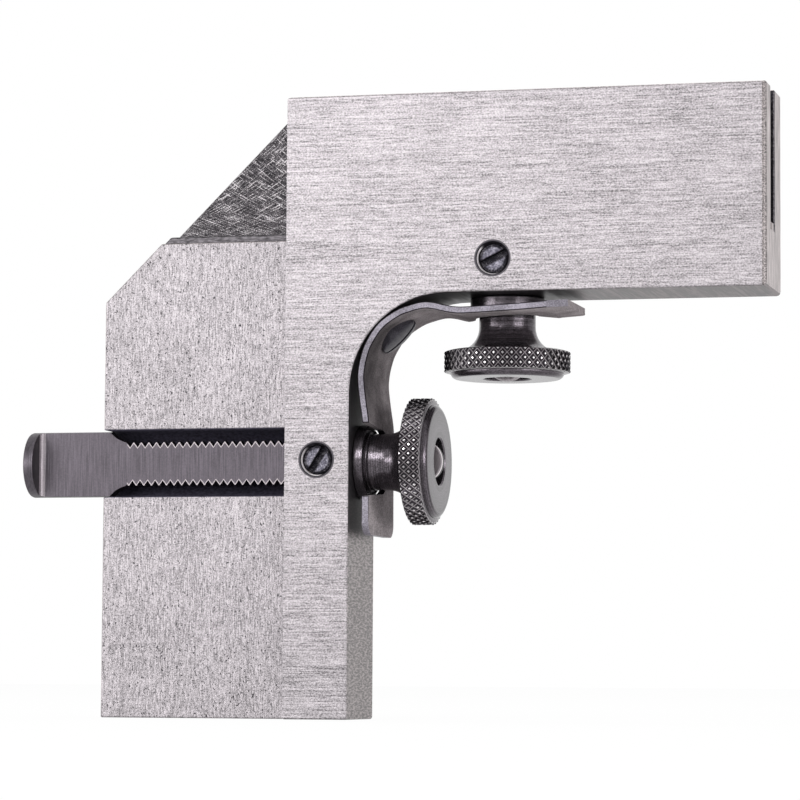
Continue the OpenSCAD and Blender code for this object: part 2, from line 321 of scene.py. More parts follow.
matt = Finish("floor_white", Base_Color=(0.9, 0.9, 0.9, 1), Roughness=0.9)
glow = matt.node("ShaderNodeEmission", {}, {"Color": WHITE, "Strength": 1.0})
show_white(matt, Wire(matt, matt.shader.outputs[0]), glow, WHITE_SHARE, "Material Output")
bpy.ops.object.select_all(action="DESELECT")
bpy.ops.mesh.primitive_plane_add(size=4, location=(0, 0, 0))
floor = bpy.context.object
floor.name = "floor"
floor.data.materials.append(matt.done())
print("floor", round(floor.dimensions.x, 1), "m wide")

# %% [markdown]
# ## Sky
# The world is the studio's soft light. Its light on matt surfaces is a
# little under white, so that pale steel keeps its tone, while the camera
# and mirror rays see plain white.

# %% Soft light from all round
SKY_LIGHT = 0.75
world = bpy.data.worlds.new("studio")
world.use_nodes = True
bpy.context.scene.world = world
sky = Graph(world.node_tree)
soft = sky.tree.nodes["Background"]
soft.inputs["Color"].default_value = WHITE
soft.inputs["Strength"].default_value = SKY_LIGHT
bright = sky.node("ShaderNodeBackground", {}, {"Color": WHITE, "Strength": 1.0})
show_white(sky, Wire(sky, soft.outputs[0]), bright, 1.0, "World Output")
print("sky nodes:", len(sky.tree.nodes))

# %% [markdown]
# ## Lamps
# Round black pieces need something bright to mirror, or they look like
# holes. Two wide softboxes stand low at the left and right for the hanging
# nut's neck, with a dark gap between them. A narrow tall one makes the light
# band on the level nut's neck, a weak one lies where the front face mirrors
# it, and one lights the top.

# %% Softboxes
AIM = Vector((0.013, 0, 0.03))


def softbox(name, way, away, width, height, watts):
    """A lamp that faces the middle of the object from one way."""
    lamp = bpy.data.lights.new(name, "AREA")
    lamp.shape = "RECTANGLE"
    lamp.size = width
    lamp.size_y = height
    lamp.energy = watts
    stand = bpy.data.objects.new(name, lamp)
    stand.location = AIM + Vector(way).normalized() * away
    stand.rotation_euler = (AIM - stand.location).to_track_quat("-Z", "Y").to_euler()
    bpy.context.scene.collection.objects.link(stand)
    print(name, [round(at, 2) for at in stand.location])


softbox("left_lamp", (-0.72, -0.69, 0.08), 0.5, 0.34, 0.13, 0.8)
softbox("right_lamp", (0.88, -0.47, 0.08), 0.5, 0.4, 0.13, 0.9)
softbox("tall_lamp", (-0.27, -0.88, 0.36), 0.5, 0.09, 0.2, 0.55)
softbox("key_lamp", (-0.1, -0.98, -0.04), 0.5, 0.14, 0.14, 0.12)
softbox("top_lamp", (0.1, 0.25, 0.95), 0.55, 0.25, 0.25, 0.5)

# %% [markdown]
# ## Modelling helpers
# The pieces are modelled in millimetres, as on a drawing, and turned into
# metres at the end. An operator acts on whatever is selected, so `hold`
# first leaves edit mode and selects one piece alone, and `pick` selects
# what passes a test.

# %% Select one piece, or parts of its mesh
MM = 0.001


def clear():
    """Nothing selected, in object mode."""
    if bpy.context.object and bpy.context.object.mode != "OBJECT":
        bpy.ops.object.mode_set(mode="OBJECT")
    bpy.ops.object.select_all(action="DESELECT")


def hold(piece, mode="OBJECT"):
    """Make a piece the only selected one, and the active one."""
    clear()
    piece.select_set(True)
    bpy.context.view_layer.objects.active = piece
    bpy.ops.object.mode_set(mode=mode)
    if mode == "EDIT":
        bpy.ops.mesh.select_mode(type="VERT")


def pick(kind, test):
    """Select the verts, edges or faces that pass a test, in edit mode."""
    bpy.ops.mesh.select_mode(type=kind[:-1].upper())
    bpy.ops.mesh.select_all(action="DESELECT")
    mesh = bpy.context.object.data
    work = bmesh.from_edit_mesh(mesh)
    chosen = [part for part in getattr(work, kind) if test(part)]
    for part in chosen:
        part.select_set(True)
    bmesh.update_edit_mesh(mesh)
    return len(chosen)


# %% [markdown]
# Modifiers do the work that is tedious by hand: Boolean joins and cuts,
# Bevel breaks the sharp edges, Screw winds a thread. Each is applied at
# once, so the mesh that is kept is the one that is seen. Bevel can take
# its width from a weight on each edge, so that some edges stay sharp.

# %% Modifiers, applied at once
WELD = 1e-4


def tidy_mesh():
    """Merge doubles and turn all faces outwards, in edit mode."""
    bpy.ops.mesh.select_all(action="SELECT")
    bpy.ops.mesh.remove_doubles(threshold=WELD)
    bpy.ops.mesh.normals_make_consistent(inside=False)


def modify(piece, kind, **settings):
    """Add a modifier and apply it."""
    hold(piece)
    bpy.ops.object.modifier_add(type=kind)
    modifier = piece.modifiers[-1]
    for key, value in settings.items():
        setattr(modifier, key, value)
    bpy.ops.object.modifier_apply(modifier=modifier.name)


def combine(piece, other, operation):
    """Join, cut or cross a piece with another, which is used up."""
    modify(piece, "BOOLEAN", object=other, operation=operation, solver="EXACT")
    bpy.data.objects.remove(other)


def bevel_by_weight(piece, weigh, width, segments):
    """Bevel each edge by its own share of a width, and count those with a share."""
    hold(piece, "EDIT")
    work = bmesh.from_edit_mesh(piece.data)
    weights = work.edges.layers.float.new("bevel_weight_edge")
    for edge in work.edges:
        edge[weights] = weigh(edge)
    broken = sum(edge[weights] > 0 for edge in work.edges)
    bmesh.update_edit_mesh(piece.data)
    modify(piece, "BEVEL", width=width, segments=segments, limit_method="WEIGHT",
           use_clamp_overlap=False)
    return broken


# %% [markdown]
# ## Copies of CAD pieces
# The head, the spring and the screws already have their true shape in the
# CAD model, so each starts as a copy of its node. The copy's triangles are
# loose: they are merged, and flat areas are dissolved into single faces, so
# that a bevel can run along the real edges only.

# %% Copy a CAD piece, and settle a finished one
def cad_copy(node, name):
    """A merged copy of a CAD node, in millimetres."""
    piece = frame["nodes"][node].copy()
    piece.data = piece.data.copy()
    piece.name = name
    piece.parent = None
    for key in list(piece.keys()):
        del piece[key]
    piece.data.materials.clear()
    bpy.context.scene.collection.objects.link(piece)
    piece.data.transform(Matrix.Scale(1 / MM, 4))
    hold(piece, "EDIT")
    bpy.ops.mesh.select_all(action="SELECT")
    bpy.ops.mesh.remove_doubles(threshold=WELD)
    bpy.ops.mesh.dissolve_limited(angle_limit=math.radians(0.5), delimit={"NORMAL"})
    bpy.ops.object.mode_set(mode="OBJECT")
    return piece


def finish_faces(piece, finishes, finish_of):
    """Give each face of a piece the finish that its place and way call for."""
    for finish in finishes:
        piece.data.materials.append(finish)
    for face in piece.data.polygons:
        face.material_index = finish_of(face)
    used = [face.material_index for face in piece.data.polygons]
    print("faces of each finish:", [used.count(kind) for kind in range(len(finishes))])


def settle(piece, move, body, node, smooth=35):
    """Put a finished piece in the frame, in metres, on its body."""
    hold(piece)
    piece.data.transform(Matrix.Scale(MM, 4) @ move)
    bpy.ops.object.shade_smooth_by_angle(angle=math.radians(smooth))
    modify(piece, "WEIGHTED_NORMAL", keep_sharp=True, weight=100)
    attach(piece, body)
    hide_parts(node)
    print(piece.name, "has", len(piece.data.polygons), "faces")


# %% [markdown]
# ## Turned pieces and blocks
# A piece from a lathe is a profile spun round its axis. The profile could
# be typed in as vertices, but it is drawn here as by hand: one point is
# extruded from corner to corner, and the line is then spun or screwed. A
# block is a cube that is stretched and moved in edit mode.

# %% Draw a profile and spin it, or shape a block
def profile_line(name, profile):
    """A line of (radius, height) points in the XZ plane, drawn by extruding."""
    clear()
    bpy.ops.mesh.primitive_plane_add(size=1, location=(0, 0, 0))
    piece = bpy.context.object
    piece.name = name
    hold(piece, "EDIT")
    bpy.ops.mesh.select_all(action="SELECT")
    bpy.ops.mesh.merge(type="CENTER")
    bpy.ops.transform.translate(value=(profile[0][0], 0, profile[0][1]))
    for (r0, z0), (r1, z1) in zip(profile, profile[1:]):
        step = (r1 - r0, 0, z1 - z0)
        bpy.ops.mesh.extrude_region_move(TRANSFORM_OT_translate={"value": step})
    bpy.ops.object.mode_set(mode="OBJECT")
    return piece


def lathe(name, profile, steps):
    """Spin a closed profile round the Z axis."""
    piece = profile_line(name, profile)
    hold(piece, "EDIT")
    bpy.ops.mesh.select_all(action="SELECT")
    bpy.ops.mesh.spin(steps=steps, angle=2 * math.pi, center=(0, 0, 0), axis=(0, 0, 1))
    tidy_mesh()
    bpy.ops.object.mode_set(mode="OBJECT")
    return piece


def block(size, centre):
    """A cube stretched and moved, and left in edit mode."""
    clear()
    bpy.ops.mesh.primitive_cube_add(size=1, location=(0, 0, 0))
    piece = bpy.context.object
    hold(piece, "EDIT")
    bpy.ops.transform.resize(value=size)
    bpy.ops.transform.translate(value=centre)
    return piece


# %% [markdown]
# ## Shared sizes
# These are the CAD model's own sizes in millimetres. X runs to the right
# from the corner of the L, Y to the back, and Z up from the foot. A guide
# screw has its place in X and Z, and the angle of its slot.

# %% Sizes that the pieces share, in millimetres
HALF_THICK = 4.7625
STEP_Y = -1.9125
WALL_Y = 0.6475
SEAT_Z = 46.5
HEAD_H = 59.2
TOP_LEG_Z = 40.15
LEG_W = 6.3
HEAD_L = 46.0
BLADE_Z = 24.5
RULE_X, RULE_Y = 20.15, 1.9
GUIDES = {"blade_guide_screw": (3.15, 24.5, 58), "rule_guide_screw": (20.15, 43.3, 26)}
GUIDE_HOLES = [(x, z) for x, z, turn in GUIDES.values()]
print("head", HEAD_L, "x", 2 * HALF_THICK, "x", HEAD_H, "mm")

# %% [markdown]
# ## Ground front face
# A surface grinder leaves fine straight scratches along the leg, some long
# and faint, some short and sharp, and the light catches each one on its
# own. Two stretched noises make the scratches, a fine round one makes the
# sparkle between them, and a wide one varies the tone. All feed the colour,
# the roughness and the bump together, because a real scratch does as well.
# A thin dark line is painted round the two screw holes, on the front only.
# Such a line is given by four distances in metres: where it begins, is
# full, starts to fade and ends.

# %% Brushed steel
HOLE_RING = (0.00157, 0.00161, 0.00172, 0.0018)
FRONT_HALF = (-0.001, 0.001)


def guide_ways(x, z):
    """For each guide hole: the way from it along X and along Z, and the distance."""
    for hole_x, hole_z in GUIDE_HOLES:
        east, north = x - hole_x * MM, z - hole_z * MM
        yield east, north, distance(east, north)


def brushed_steel():
    """Surface-ground steel: scratches along X and a sparkle."""
    steel = Finish("steel_brushed", Metallic=0.85)
    mark = steel.grain((0.24, (150, 3000, 6500)), (0.26, (650, 5000, 8500)),
                       (0.42, (5500, 5000, 7500)), (0.08, (110, 110, 300)))
    plain = steel.tones(mark, shade(152, 147, 150),
                        (0.4, 0.3), (0.46, 0.74), (0.52, 1.02), (0.6, 1.5))
    x, y, z = steel.parts()
    # A thin dark ring is painted round each guide hole, on the front.
    line = sum(radius.band(*HOLE_RING) for east, north, radius in guide_ways(x, z))
    in_front = 0.95 - y.rise(*FRONT_HALF) * 0.95
    colour = steel.mix(line * in_front, plain, shade(60, 57, 62))
    return steel.marked(colour, mark, 0.5, 0.17, 0.00002)


BRUSHED = brushed_steel()

# %% [markdown]
# The chamfers round the two screw holes are painted black, as painted shade,
# but for a narrow band at the lower left that is a painted highlight.

# %% Hole chamfers
BRIGHT_BAND = (0.00124, 0.00128, 0.00152, 0.00155)
LOWER_LEFT = (-0.87, -0.5)
BRIGHT_FROM = (0.0001, 0.0008)


def hole_steel():
    """Chamfer painted dark as shade, with a painted highlight band at its lower left."""
    steel = Finish("steel_hole", Metallic=0.5, Roughness=0.5)
    x, y, z = steel.parts()
    lit = sum(radius.band(*BRIGHT_BAND)
              * (east * LOWER_LEFT[0] + north * LOWER_LEFT[1]).rise(*BRIGHT_FROM)
              for east, north, radius in guide_ways(x, z))
    # Painted shade on the chamfer, and a painted highlight band at its lower left.
    steel.feed(Base_Color=steel.mix(lit, shade(34, 31, 37), shade(250, 244, 247)))
    return steel.done()


CHAMFER = hole_steel()

# %% [markdown]
# ## Blade face
# The flange that the blade lies against is milled, not ground, and has a
# denser, upright grain with dark pits. The pits are one more noise, cut off
# high with `rise` so that only its peaks are left. Beside the step of the
# front face the flange is painted a little darker, as a painted shadow of the step.

# %% Pitted steel
PIT_FROM = (0.64, 0.68)
STEP_SHADOW = (-0.0012, -0.0001)


def milled_steel():
    """Milled blade face: upright lines, dark pits and a painted shadow beside the step."""
    steel = Finish("steel_pitted", Metallic=0.85)
    mark = steel.grain((0.42, (10000, 3000, 1000)), (0.5, (9000, 4000, 9000)),
                       (0.08, (260, 260, 160)))
    pits = steel.noise((5200, 4000, 4200)).rise(*PIT_FROM)
    x, y, z = steel.parts()
    plain = steel.tones(mark, shade(151, 146, 149),
                        (0.4, 0.4), (0.46, 0.78), (0.53, 1.06), (0.61, 1.6))
    worn = steel.mix(pits * 0.95, plain, shade(40, 38, 42))
    # Painted shadow of the step, on the flange beside it.
    colour = steel.mix(x.rise(*STEP_SHADOW) * 0.5, worn, shade(120, 116, 120))
    steel.feed(Base_Color=colour, Roughness=mark * 0.5 + 0.2,
               Normal=steel.bump(mark - pits * 0.5, 0.00003))
    return steel.done()


MILLED = milled_steel()

# %% [markdown]
# ## Sides, ends and small faces
# The narrow sides of the head have a fine grain, drawn out the way the
# grinding wheel went: up the ends, and from front to back underneath. One
# function makes them all in their tones. The tones are partly painted light:
# the inner side and the underside are painted darker than the ends, as
# painted shade, and the thin broken edges lightest, as a painted highlight.
# Inside the corner, as far as the spring reaches, painted shade and a painted
# dark reflection of the spring darken the sides, so they darken near the corner.

# %% Fine steel in several tones
SHADE_FADE = 0.001


def fine_steel(name, light, metal=0.85, streak=(7500, 260, 7500), painted_shade=()):
    """Ground sides and ends: a fine grain, and painted shade out to two distances from the corner.
    """
    steel = Finish(name, Metallic=metal, Specular_IOR_Level=0.25)
    mark = steel.grain((0.8, streak), (0.12, (8500, 8500, 8500)), (0.08, (160, 160, 160)))
    colour = steel.tones(mark, light, (0.4, 0.45), (0.5, 1.0), (0.6, 1.75))
    if painted_shade:
        x, y, z = steel.parts()
        reach = distance(x - LEG_W * MM, z - TOP_LEG_Z * MM)
        near, far = (reach.rise(start, start + SHADE_FADE) for start in painted_shade)
        # Painted shade and a painted dark reflection of the spring, fading out from the corner.
        shaded = 1 - near * 0.15 - far * 0.85
        colour = steel.mix(shaded * 0.85, colour, shade(30, 28, 34))
    return steel.marked(colour, mark, 0.4, 0.22, 0.00002)


# The inner side and the underside are darker copies of the ground steel, as painted shade.
SIDES = fine_steel("steel_side", shade(126, 120, 120), 0.5, (6500, 1200, 5500), (0.019, 0.022))
ENDS = fine_steel("steel_end", shade(162, 154, 154), 0.5, (7500, 7500, 300))
GROOVES = fine_steel("steel_relief", shade(80, 77, 80), 0.85, (1500, 4000, 6000))
# The pale broken edge is a painted highlight.
BROKEN = fine_steel("steel_edge", shade(250, 244, 247), 0.2)
UNDERSIDE = fine_steel("steel_under", shade(97, 91, 92), 0.25, (2800, 150, 2800), (0.017, 0.0205))
# The rounded rim at the end is painted a little darker than the end, as painted shade.
END_RIM = fine_steel("steel_rim", shade(125, 119, 119), 0.5)

# %% [markdown]
# ## Slot walls
# The slot along the top was cut by the rim of a wide milling cutter, which
# leaves arcs. They cross, because the back of the cutter marks the wall
# again. An arc is a circle moved along X, so the noise is read at X less
# the circle's half chord at this height, and the crossing arcs at X plus
# it. Inside the slot, right of the corner, the wall is painted dark, as
# painted shade.

# %% Cutter arcs
CUTTER_R, CUTTER_Z = 0.038, 0.0835
ARC_GRAINS, HEIGHT_GRAINS = 5200, 900
SLOT_SHADE_FROM = (0.0005, 0.003)


def cutter_steel():
    """Slot walls: arcs that the rim of a cutter left, going and coming."""
    steel = Finish("steel_cutter_arcs", Metallic=0.8)
    x, y, z = steel.parts()
    drop = CUTTER_Z - z
    half_chord = (CUTTER_R ** 2 - drop * drop).root()
    going = steel.trace((x - half_chord) * ARC_GRAINS, z * HEIGHT_GRAINS)
    coming = steel.trace((x + half_chord) * ARC_GRAINS, z * HEIGHT_GRAINS)
    mark = going.most(coming) * 0.62 + steel.grain((0.38, (11000, 9000, 11000)))
    plain = steel.ramp(mark, (0.47, shade(19, 17, 20)), (0.53, shade(56, 53, 56)),
                       (0.58, shade(103, 99, 102)), (0.63, shade(193, 189, 191)))
    # Painted shade on the wall inside the slot, right of the corner.
    colour = steel.mix(x.rise(*SLOT_SHADE_FROM) * 0.85, plain, shade(26, 24, 31))
    return steel.marked(colour, mark, 0.4, 0.2, 0.00004)


ARCS = cutter_steel()

# %% [markdown]
# The channel that the hook bolt slides in is left as it was milled, dull,
# and its steel is painted dark, as painted shade inside the channel. Its
# grain is coarser and hardly shines.

# %% Channel steel, and the list of the head's finishes
def channel_steel():
    """Unfinished steel in the bolt's channel, painted dark as painted shade."""
    steel = Finish("steel_channel", Metallic=0.5, Roughness=0.6)
    grain = steel.noise((3000, 3000, 3000))
    steel.feed(Base_Color=steel.ramp(grain, (0.3, shade(62, 59, 74)), (0.7, shade(104, 100, 118))),
               Normal=steel.bump(grain, 0.00003))
    return steel.done()


FRONT, FLANGE, SIDE, CUTTER, CHANNEL, END, RELIEF, EDGE, UNDER, RIM, HOLE = range(11)
HEAD_FINISHES = [BRUSHED, MILLED, SIDES, ARCS, channel_steel(), ENDS, GROOVES, BROKEN,
                 UNDERSIDE, END_RIM, CHAMFER]
print("head finishes:", len(HEAD_FINISHES))

# %% [markdown]
# ## Head: broken edges
# No edge of a real machined part is perfectly sharp, and the thin bright
# line that a broken edge mirrors is what makes it look solid. Most edges
# get a small share of the widest break. The outer edges at the end of the
# top leg get a wide one, the top left edge gets the widest, and the tiny
# faces inside holes are left alone.

# %% Weight and bevel the head's edges
EDGE_BREAK = 0.5
SHARP = math.radians(30)
SMALL_FACE = 1.5
ON_LINE = 0.01
WIDE, ROUND, FINE = 1.0, 0.8, 0.3


def edge_weight(edge):
    """Share of the widest edge break that an edge of the head gets."""
    if len(edge.link_faces) != 2 or edge.calc_face_angle(0) <= SHARP:
        return 0.0
    if min(face.calc_area() for face in edge.link_faces) <= SMALL_FACE:
        return 0.0
    middle = (edge.verts[0].co + edge.verts[1].co) / 2
    if abs(middle.x) < ON_LINE and abs(middle.z - HEAD_H) < ON_LINE:
        return WIDE
    on_end = all(abs(vertex.co.x - HEAD_L) < ON_LINE for vertex in edge.verts)
    outer = abs(middle.y) > HALF_THICK - 0.1 or abs(middle.z - TOP_LEG_Z) < ON_LINE
    at_wall = STEP_Y < middle.y < HALF_THICK and middle.z > SEAT_Z
    return ROUND if on_end and outer and not at_wall else FINE


head = cad_copy("head", "head_ground")
print("broken edges:", bevel_by_weight(head, edge_weight, EDGE_BREAK, segments=3))

# %% [markdown]
# ## Head: a finish for each face
# A machinist sees at once which tool made which face. The script tells
# them apart by where a face lies and which way it looks: the front and back
# are ground, the stepped flange is milled, the slot shows its cutter. The
# part of a face's normal along an axis is 1 where it looks straight that
# way, 0.7 where it is turned by 45 degrees, and 0 where it is square to it.

# %% Sort the head's faces
FACING, LEANING, STRAIGHT = 0.7, 0.5, 0.95
NEAR, BESIDE = 0.02, 0.2
END_REACH = 0.45
FRONT_RIM_Y = EDGE_BREAK - HALF_THICK
CHANNEL_HALF, CHANNEL_BACK_Y = 3.21, 3.6
SLOT_LOW_Z, RELIEF_TOP_Z = SEAT_Z - 0.75, SEAT_Z + 0.72
HOLE_REACH = 2.2


def head_finish(face):
    """The finish of a face, by where it lies and which way it looks."""
    spot, way = face.center, face.normal
    at_front = spot.y < FRONT_RIM_Y
    # The channel and the rounded edge of its mouth take the dark channel finish, as painted shade.
    beside_bolt = spot.x < 0 and abs(spot.z - BLADE_Z) < CHANNEL_HALF + END_REACH
    if beside_bolt and STEP_Y + NEAR < spot.y < CHANNEL_BACK_Y and way.x > -0.98:
        return CHANNEL
    if spot.x > HEAD_L - END_REACH and way.y > -0.99:
        # At the right end the edge of the slot's back wall gets the dark relief finish, as painted
        # shade.
        if abs(spot.y - WALL_Y) < BESIDE and spot.z > SEAT_Z and way.x < 0.99:
            return RELIEF
        # The rounded rim at the front of the right end is painted darker, as painted shade.
        if way.y < -0.1 and at_front:
            return RIM
        return UNDER if way.z < -LEANING else END
    # The broken edge at the step gets the pale finish, a painted highlight.
    at_step = spot.x < BESIDE and spot.y < STEP_Y - BESIDE
    if at_step and -STRAIGHT < way.y < -0.3 and way.x < -0.2:
        return EDGE
    if at_front and -STRAIGHT < way.y < -0.2:
        if any(math.hypot(spot.x - x, spot.z - z) < HOLE_REACH for x, z in GUIDE_HOLES):
            return HOLE
    in_slot = STEP_Y - NEAR < spot.y < WALL_Y + NEAR and spot.z > SLOT_LOW_Z
    if in_slot and abs(way.x) < FACING and (way.y > -FACING or spot.y > STEP_Y + 0.1):
        return RELIEF if spot.z < RELIEF_TOP_Z and way.y < -FACING else CUTTER
    right_end = way.x > FACING and spot.x > HEAD_L - EDGE_BREAK
    if right_end or way.z > LEANING or way.x < -LEANING:
        return END
    if abs(way.y) > FACING:
        return FLANGE if way.y < 0 and abs(spot.y - STEP_Y) < 0.3 else FRONT
    return UNDER if way.z < -LEANING else SIDE


finish_faces(head, HEAD_FINISHES, head_finish)
settle(head, Matrix(), "head", "head")

# %% [markdown]
# ## Bolts: finish
# The bolts are dark oiled steel. Their flats were milled across, which
# leaves fine lines that hardly show until the light rakes them. Milling
# also laid the thread's teeth bare along both edges of the flat, and their
# rims are worn bright. A tooth row is a triangle wave, which is one
# Ping-Pong node, so the rims are found by their distance from that wave.
# The blade bolt's flat is painted lighter near the tip, against the shade of
# the hole. The fillet and the tip use a lighter copy of the steel as a
# painted highlight, and the tip gets a painted highlight rim with painted
# shade behind it.

# %% Oiled steel
THREAD_R, ROOT_R, PITCH = 2.21, 1.75, 0.77
FLAT_Y = 0.7
ROD_Z = -17.6
WORN, WORN_FADE = 0.13, 0.04
UPPER_TURNS, LOWER_TURNS = 0.5544, -0.0544
TEETH_FROM = (-0.0171, -0.017)
TIP_FROM = (0.0126, 0.0132)
RIM_FROM, RIM_UNTIL = (-0.0005, -0.0004), (-0.00025, -0.0002)


def worn_line(steel, turns, upward):
    """Mask of the bare rim along a row of teeth, for the turns from the thread's start."""
    x, y, z = steel.parts()
    crest, root = (math.sqrt(r * r - FLAT_Y * FLAT_Y) for r in (THREAD_R, ROOT_R))
    along = x - (ROD_Z + PITCH * turns) * MM
    wave = along.maths("PINGPONG", along, PITCH / 2 * MM)
    outline = crest * MM - wave * ((crest - root) / (PITCH / 2))
    inside = outline - (z - BLADE_Z * MM) * upward
    return (1 - inside.rise((WORN - WORN_FADE) * MM, WORN * MM)) * x.rise(*TEETH_FROM)


def bolt_steel(name, light, detail=""):
    """Dark oiled steel with fine tool lines across the flat: worn teeth and painted light near the
    tip, or a painted highlight rim with painted shade at the tip.
    """
    steel = Finish(name, Metallic=0.75)
    mark = steel.grain((0.6, (9000, 3000, 260)), (0.25, (8000, 8000, 8000)),
                       (0.15, (140, 140, 200)))
    colour = steel.tones(mark, light, (0.4, 0.72), (0.5, 1.0), (0.6, 1.35))
    if detail:
        x, y, z = steel.parts()
        at_tip = x.rise(*TIP_FROM)
    if detail == "teeth":
        rims = worn_line(steel, UPPER_TURNS, 1) + worn_line(steel, LOWER_TURNS, -1)
        colour = steel.mix(rims * 0.8, colour, shade(170, 162, 165))
        # Painted light on the flat near the tip, against the shade of the hole.
        colour = steel.mix(at_tip, colour, shade(165, 157, 161))
    if detail == "tip":
        # A painted highlight rim on the tip, and painted shade behind it.
        colour = steel.mix(at_tip * y.rise(*RIM_FROM), colour, shade(228, 221, 223))
        colour = steel.mix(at_tip * y.rise(*RIM_UNTIL), colour, shade(22, 20, 26))
    return steel.marked(colour, mark, 0.2, 0.3, 0.000006)


BOLT_FLAT = bolt_steel("oiled_flat", shade(78, 73, 79), "teeth")
# A lighter copy of the oiled steel, as a painted highlight on the fillet and the tip.
BOLT_EDGE = bolt_steel("oiled_edge", shade(138, 131, 136), "tip")
BOLT_PLAIN = bolt_steel("oiled_plain", shade(140, 133, 137))
BOLT_DARK = bolt_steel("oiled_round", shade(50, 46, 51))

# %% [markdown]
# ## Threads
# A thread is one tooth's profile wound round the axis. A cylinder with
# painted rings would look right from far away, but its outline would be
# straight. The Screw modifier winds a real tooth, and two bisects cut the
# ends flat and close them. The tip is then rounded by crossing the rod with
# a turned shape, as a real bolt's tip is turned round to start in the nut.

# %% Threaded rod with a rounded tip
CREST_FLAT = 0.07
THREAD_STEPS = 64
POINT_R, POINT_DEPTH = 2.05, 2.4
POINT_ANGLES = [math.radians(a) for a in range(63, -1, -7)]
ROOM = 0.3


def threaded_rod(name, start, end, tip):
    """A helical thread along Z between two heights, rounded at the tip."""
    turns = math.ceil((end - start) / PITCH) + 2
    rise = (PITCH - CREST_FLAT) / 2
    tooth = [(ROOT_R, 0), (THREAD_R, rise), (THREAD_R, rise + CREST_FLAT), (ROOT_R, PITCH)]
    rod = profile_line(name, tooth)
    rod.data.transform(Matrix.Translation((0, 0, start - 1.5 * PITCH)))
    modify(rod, "SCREW", angle=2 * math.pi, screw_offset=PITCH, iterations=turns,
           steps=THREAD_STEPS, render_steps=THREAD_STEPS,
           use_merge_vertices=True, merge_threshold=WELD)
    hold(rod, "EDIT")
    tidy_mesh()
    for height, way in ((start, -1), (end, 1)):
        bpy.ops.mesh.select_all(action="SELECT")
        bpy.ops.mesh.bisect(plane_co=(0, 0, height), plane_no=(0, 0, way), use_fill=True,
                            clear_outer=True, threshold=1e-5)
    tidy_mesh()
    way = 1 if tip > (start + end) / 2 else -1
    foot = (start if way > 0 else end) - way
    room = THREAD_R + ROOM
    dome = [(POINT_R * math.sin(a), tip - way * POINT_R * (1 - math.cos(a))) for a in POINT_ANGLES]
    outline = [(0, foot), (room, foot), (room, tip - POINT_DEPTH * way)] + dome + [(0, foot)]
    combine(rod, lathe("shell", outline, THREAD_STEPS), "INTERSECT")
    print(name, "has", turns - 2, "turns of thread")
    return rod


# %% [markdown]
# ## Blade bolt
# This bolt has a thick round bar at its head end, whose tip hooks over the
# blade. A flat is milled along nearly all of it, and the hook is what the
# cutter left standing. So it is modelled the same way: a turned bar is
# joined to the rod, and a block whose lower edge is rounded is cut away.
# The bolt is modelled upright, with its hook down, and then laid along X.

# %% Blade bolt: rod and bar
BAR_R, BAR_STEPS = 3.175, 96
HOOK_Z, HOOK_TOP_Z, TIP_Z = -26.95, -25.95, 14.4
BAR_END = [(0, HOOK_Z), (BAR_R - 0.2, HOOK_Z), (BAR_R - 0.06, HOOK_Z + 0.06),
           (BAR_R, HOOK_Z + 0.2)]
NECK = [(BAR_R, -18.8), (3.0, -18.62), (2.8, -18.4), (2.6, -18.15), (2.43, -17.8),
        (2.31, -17.5), (2.22, -17.2), (2.05, -17.0), (1.74, -16.9), (0, -16.85)]
blade_bolt = threaded_rod("blade_bolt_turned", ROD_Z, TIP_Z, TIP_Z)
combine(blade_bolt, lathe("bar", BAR_END + NECK, BAR_STEPS), "UNION")
print("bar", round(2 * BAR_R, 2), "mm thick")

# %% Blade bolt: mill the flat
HOOK_FILLET, FILLET_STEPS = 0.6, 8
MILL = Vector((20, 10, 60))
MILL_Y = -FLAT_Y - MILL.y / 2


def at_hook(edge):
    """True for the lower front edge of the block that mills the flat."""
    return all(abs(vertex.co.z - HOOK_TOP_Z) < ON_LINE and abs(vertex.co.y + FLAT_Y) < ON_LINE
               for vertex in edge.verts)


mill = block(MILL, (0, MILL_Y, HOOK_TOP_Z + MILL.z / 2))
print("rounded edges of the block:", pick("edges", at_hook))
bpy.ops.mesh.bevel(offset=HOOK_FILLET, segments=FILLET_STEPS)
combine(blade_bolt, mill, "DIFFERENCE")

# %% Blade bolt: finish, and lay it along X
ALONG_X = Matrix.Translation((0, 0, BLADE_Z)) @ Matrix.Rotation(math.radians(90), 4, "Y")


def bolt_finish(face):
    """0 for the milled flat and the hook, 1 for the fillet and the tip, 2 for the rest."""
    spot, way = face.center, face.normal
    if way.y < -0.97 or spot.z < HOOK_TOP_Z - 0.05:
        return 0
    in_fillet = spot.z < HOOK_TOP_Z + HOOK_FILLET and way.y < -0.25
    return 1 if in_fillet or spot.z > TIP_Z - 1 else 2


finish_faces(blade_bolt, (BOLT_FLAT, BOLT_EDGE, BOLT_DARK), bolt_finish)
settle(blade_bolt, ALONG_X, "blade_bolt", "blade_bolt")

# %% [markdown]
# ## Rule bolt
# The second bolt stands upright. Its shank is plain, with a flat that stops
# under a cap, and a small nose on the flat reaches into the slot and hooks
# the rule's groove.

# %% Rule bolt: rod, shank and flat
RULE_TIP, RULE_THREAD_END, RULE_TOP = 32.2, 41.6, 57.2
CAP_Z = RULE_TOP - 1.3
SHANK = [(0, 41.3), (ROOT_R - 0.01, 41.35), (THREAD_R, 41.95), (THREAD_R, RULE_TOP - 0.15),
         (THREAD_R - 0.15, RULE_TOP), (0, RULE_TOP)]
rule_bolt = threaded_rod("rule_bolt_turned", RULE_TIP, RULE_THREAD_END, RULE_TIP)
combine(rule_bolt, lathe("shank", SHANK, THREAD_STEPS), "UNION")
combine(rule_bolt, block(MILL, (0, MILL_Y, CAP_Z - MILL.z / 2)), "DIFFERENCE")
print("rule bolt", round(RULE_TOP - RULE_TIP, 2), "mm long")

